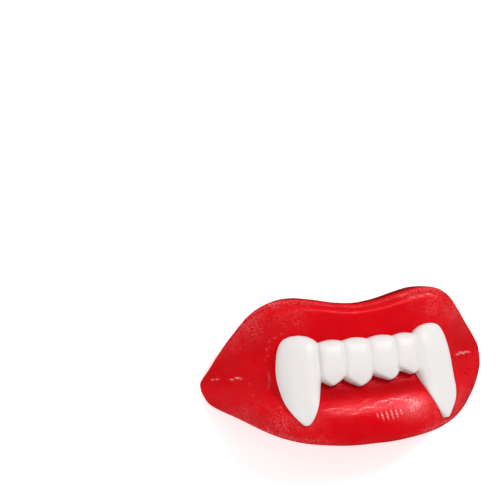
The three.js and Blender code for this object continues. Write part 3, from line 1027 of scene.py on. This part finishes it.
def add_bite_tab(bm, shape, rings, loops):
    """Pulls the bite tab out of the hollow side of the wall, down to the floor."""
    form = shape.form
    first = len(loops[0]) - rings.RIM_COUNT - rings.BACK_COUNT - rings.INNER_COUNT
    middle = len(loops) // 2
    reach = TAB_ROOT * form.tab_width / 2
    across = [i for i, (along, _) in enumerate(rings.stations) if abs(along) <= reach]
    level = shape.shift_y - form.tab_drop
    height = TAB_ROOT * form.tab_thickness / 2
    inner = range(first, first + rings.INNER_COUNT)
    down = [j for j in inner if abs(loops[middle][j].co.y - level) <= height]
    left, right, low, high = across[0], across[-1], down[0], down[-1]

    inside = []
    for i in range(left, right):
        for j in range(low, high):
            corners = (loops[i][j], loops[i + 1][j], loops[i + 1][j + 1], loops[i][j + 1])
            inside.append(bm.faces.get(corners))
    bmesh.ops.delete(bm, geom=inside, context="FACES")

    walk = [(i, low) for i in range(left, right)] + [(right, j) for j in range(low, high)]
    walk += [(i, high) for i in range(right, left, -1)]
    walk += [(left, j) for j in range(high, low, -1)]
    ring = [loops[i][j] for i, j in walk]
    roots = [vert.co.copy() for vert in ring]
    sides = [
        (lerp(-1, 1, (i - left) / (right - left)), lerp(-1, 1, (j - low) / (high - low)))
        for i, j in walk
    ]

    def ring_at(share, inset=0.0):
        """The tab's outline at a share of its length from the free end."""
        wide = form.tab_width / 2 * read(TAB_SECTIONS, "along", "width", share) - inset
        thick = form.tab_thickness / 2 * read(TAB_SECTIONS, "along", "thickness", share) - inset
        radius = min(form.tab_corner, thick * 0.9)
        points = []
        for (u, v), root in zip(sides, roots):
            x, y = u * wide, v * thick
            core_x = min(max(x, radius - wide), wide - radius)
            core_y = min(max(y, radius - thick), thick - radius)
            dx, dy = x - core_x, y - core_y
            pull = max(abs(dx), abs(dy)) / (math.hypot(dx, dy) or 1.0)
            z = root.z * share
            wobble = 1 + TAB_LUMPS * noise.noise(Vector((x, y, z)) * TAB_LUMPS_PER_METRE)
            points.append(
                Vector((core_x + dx * pull, core_y + dy * pull, 0)) * wobble
                + Vector((0, level, z))
            )
        return points

    start = ring
    for i in range(1, TAB_RINGS):
        ring = extrude_ring(bm, ring, ring_at((1 - i / TAB_RINGS) ** TAB_CROWDING))
    for share, rounding in TAB_END_RINGS:
        ring = extrude_ring(bm, ring, ring_at(share, TAB_END_ROUND * rounding))
    close_ring(bm, ring)

    near = set(start)
    for _ in range(ROOT_SPREAD):
        near |= {edge.other_vert(vert) for vert in near for edge in vert.link_edges}
    for _ in range(ROOT_PASSES):
        bmesh.ops.smooth_vert(
            bm, verts=list(near), factor=0.5, use_axis_x=True, use_axis_y=True, use_axis_z=True
        )


def cut_feet(bm):
    """Cuts the mouth corners flat where they stand on the floor."""
    everything = bm.verts[:] + bm.edges[:] + bm.faces[:]
    bmesh.ops.bisect_plane(
        bm, geom=everything, dist=1e-7, plane_co=(0, 0, 0), plane_no=(0, 0, 1), clear_inner=True
    )
    rims = [edge for edge in bm.edges if edge.is_boundary]
    bmesh.ops.holes_fill(bm, edges=rims)


# depth carries painted shade, and bright the marks' painted highlights
LAYERS = ("edge", "reach", "depth", "bright")


def paint_lips(shape, layers, rings, loops, made):
    """Stores where each point is on the lips, for the wax's colours.

    edge: 0 at the mouth line and 1 at the outer edge. reach: 0 in the middle and 1 at the
    mouth corners. depth: painted shade, how dark the red is painted: 1 in the hollow under the
    front teeth, more on the upper rim, some in the groove under it and a little inside.
    bright: painted highlights, up to 1 on the strongest marks.
    """
    for (along, _), loop, (_, kinds, highlights) in zip(rings.stations, loops, made):
        reach = abs(along) / shape.half_length
        shade = smooth_step(0.5, 0.2, reach)
        for vert, kind, highlight in zip(loop, kinds, highlights):
            hidden = kind == INSIDE
            vert[layers["edge"]] = 0.5 if hidden else min(1.0, abs(kind))
            vert[layers["reach"]] = reach
            # Painted shade: the hollow under the front teeth, the groove under the upper edge and
            # the upper rim
            below = smooth_step(-0.5, -0.33, kind) * smooth_step(0.6, 0.1, kind)
            groove = GROOVE_SHADE * smooth_step(GROOVE_WIDTH, 0.0, abs(kind - GROOVE_AT))
            rim = max(groove, RIM_SHADE * smooth_step(0.97, 1.1, kind))
            vert[layers["depth"]] = INSIDE_SHADE if hidden else max(shade * below, rim)
            vert[layers["bright"]] = highlight


class MESH_OT_wax_lips(Operator):
    """Build the hollow red lips with the bite tab behind them"""

    bl_idname = "mesh.wax_lips"
    bl_label = "Wax Lips"

    def execute(self, context):
        scene = context.scene
        shape = LipShape(scene.wax_lips_form, scene.wax_teeth_form)
        shape.settle()
        rings = LipRings(shape)
        bm = bmesh.new()
        layers = {name: bm.verts.layers.float.new(name) for name in LAYERS}
        made = [rings.points(along, size) for along, size in rings.stations]
        corner = shape.section(shape.half_length)
        height = (corner.top + corner.bottom) / 2
        start = shape.place(-shape.half_length, height, 0)
        end = shape.place(shape.half_length, height, 0)
        loops = loft(bm, [points for points, _, _ in made], start, end)
        paint_lips(shape, layers, rings, loops, made)
        add_bite_tab(bm, shape, rings, loops)
        cut_feet(bm)
        piece = finish_piece(bm, "red_lips", red_wax(scene.wax_colors))
        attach(piece, "root")
        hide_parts("lips")
        return {"FINISHED"}


# The teeth


def tooth_rings(shape, one, sections):
    """Rings of points round a tooth, from its tip to its top."""
    form = shape.teeth_form
    first, last = one.sections["down"][0], one.sections["down"][-1]
    rings = []
    for i in range(sections + 1):
        down = lerp(last, first, 0.5 - 0.5 * math.cos(math.pi * i / sections))
        left, right = shape.tooth_span(one, down)
        stand = shape.teeth_front * read(one.sections, "down", "front", down)
        up = one.top - down * one.length
        front, bed = [], []
        for k in range(POINTS_ACROSS):
            share = 0.5 - 0.5 * math.cos(math.pi * k / (POINTS_ACROSS - 1))
            along = lerp(left, right, share)
            dome = math.sqrt(max(0.0, 1 - abs(2 * share - 1) ** one.roundness))
            skin = shape.front(along, up)
            edge = skin + form.edge
            front.append(shape.place(along, up, lerp(edge, max(stand, edge), dome)))
            if k % 2 == 0:
                bed.append(shape.place(along, up, skin - form.bed_depth))
        rings.append(front + bed[::-1])
    return rings


class MESH_OT_wax_teeth(Operator):
    """Build the row of white teeth, melted together"""

    bl_idname = "mesh.wax_teeth"
    bl_label = "Wax Teeth"

    def execute(self, context):
        scene = context.scene
        form = scene.wax_teeth_form
        shape = LipShape(scene.wax_lips_form, form)
        shape.settle()
        bm = bmesh.new()
        for one in shape.teeth + [shape.band()]:
            rings = tooth_rings(shape, one, FANG_RINGS if one.fang else INCISOR_RINGS)
            loft(bm, rings, mean(rings[0]), mean(rings[-1]))
        piece = finish_piece(bm, "tooth_row_wax", white_wax(scene.wax_colors))
        melt = piece.modifiers.new("melt", "REMESH")
        melt.mode = "VOXEL"
        melt.voxel_size = form.grain
        soften = piece.modifiers.new("soften", "SMOOTH")
        soften.factor = 0.5
        soften.iterations = form.melting
        apply_modifiers(piece)
        lows = []
        for vert in piece.data.vertices:
            along, out = shape.along_and_out(vert.co)
            over = out - shape.front(along, vert.co.y - shape.shift_y)
            lows.append(1 - smooth_step(BLUSH_FULL, BLUSH_END, over))
        piece.data.attributes.new("low", "FLOAT", "POINT").data.foreach_set("value", lows)
        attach(piece, "root")
        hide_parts("tooth_row")
        return {"FINISHED"}


# The stage


def plain_material(name, tint):
    shader = Shader(name)
    shader.fill(
        shader.surface,
        {
            "Base Color": tint,
            "Roughness": 0.9,
            "Emission Color": tint,
            "Emission Strength": FLOOR_GLOW,
        },
    )
    return shader.material


def soft_light(name, place, size, power):
    """A square light that points at the lips."""
    light = bpy.data.lights.new(name, "AREA")
    light.size = size
    light.energy = power
    lamp = bpy.data.objects.new(name, light)
    lamp.location = place
    lamp.rotation_euler = (-Vector(place)).to_track_quat("-Z", "Y").to_euler()
    bpy.context.scene.collection.objects.link(lamp)


class SCENE_OT_wax_stage(Operator):
    """Set up the floor, the lights and the camera"""

    bl_idname = "scene.wax_stage"
    bl_label = "Stage"

    def execute(self, context):
        scene = context.scene
        studio = scene.wax_studio
        bm = bmesh.new()
        bmesh.ops.create_grid(bm, x_segments=2, y_segments=2, size=FLOOR_HALF)
        floor = finish_piece(bm, "floor", plain_material("floor", tuple(scene.wax_colors.floor)))
        floor.visible_glossy = False
        soft_light("key", KEY_PLACE, KEY_SIZE, studio.key_power)
        soft_light("fill", FILL_PLACE, FILL_SIZE, studio.fill_power)
        world = bpy.data.worlds.new("studio")
        world.use_nodes = True
        world.cycles_visibility.glossy = False
        background = world.node_tree.nodes["Background"]
        background.inputs["Color"].default_value = (1.0, 1.0, 1.0, 1.0)
        background.inputs["Strength"].default_value = studio.room_light
        scene.world = world
        scene.view_settings.view_transform = "Standard"
        lens = bpy.data.cameras.new("camera")
        lens.sensor_width = SENSOR_WIDTH
        lens.lens = studio.lens
        lens.clip_start = CLIP_START
        camera = bpy.data.objects.new("camera", lens)
        camera.location = CAMERA_PLACE
        camera.rotation_euler = CAMERA_TURN
        scene.collection.objects.link(camera)
        scene.camera = camera
        return {"FINISHED"}


class VIEW3D_PT_wax_lips(Panel):
    """Lists the pieces and their sizes"""

    bl_label = "Wax Lips"
    bl_idname = "VIEW3D_PT_wax_lips"
    bl_space_type = "VIEW_3D"
    bl_region_type = "UI"
    bl_category = "Wax Lips"

    def draw(self, context):
        layout = self.layout
        for group in GROUPS:
            box = layout.box()
            settings = getattr(context.scene, group)
            for name in settings.__annotations__:
                box.prop(settings, name)
        for operator in OPERATORS:
            layout.operator(operator.bl_idname)


OPERATORS = (MESH_OT_wax_lips, MESH_OT_wax_teeth, SCENE_OT_wax_stage)
GROUPS = {
    "wax_lips_form": WaxLipsForm,
    "wax_teeth_form": WaxTeethForm,
    "wax_colors": WaxColors,
    "wax_studio": WaxStudio,
}
CLASSES = (*GROUPS.values(), *OPERATORS, VIEW3D_PT_wax_lips)


def register():
    for cls in CLASSES:
        bpy.utils.register_class(cls)
    for name, group in GROUPS.items():
        setattr(bpy.types.Scene, name, PointerProperty(type=group))


def unregister():
    for name in GROUPS:
        delattr(bpy.types.Scene, name)
    for cls in reversed(CLASSES):
        bpy.utils.unregister_class(cls)


def main():
    register()
    bpy.ops.mesh.wax_lips()
    bpy.ops.mesh.wax_teeth()
    bpy.ops.scene.wax_stage()


if __name__ == "__main__":
    main()
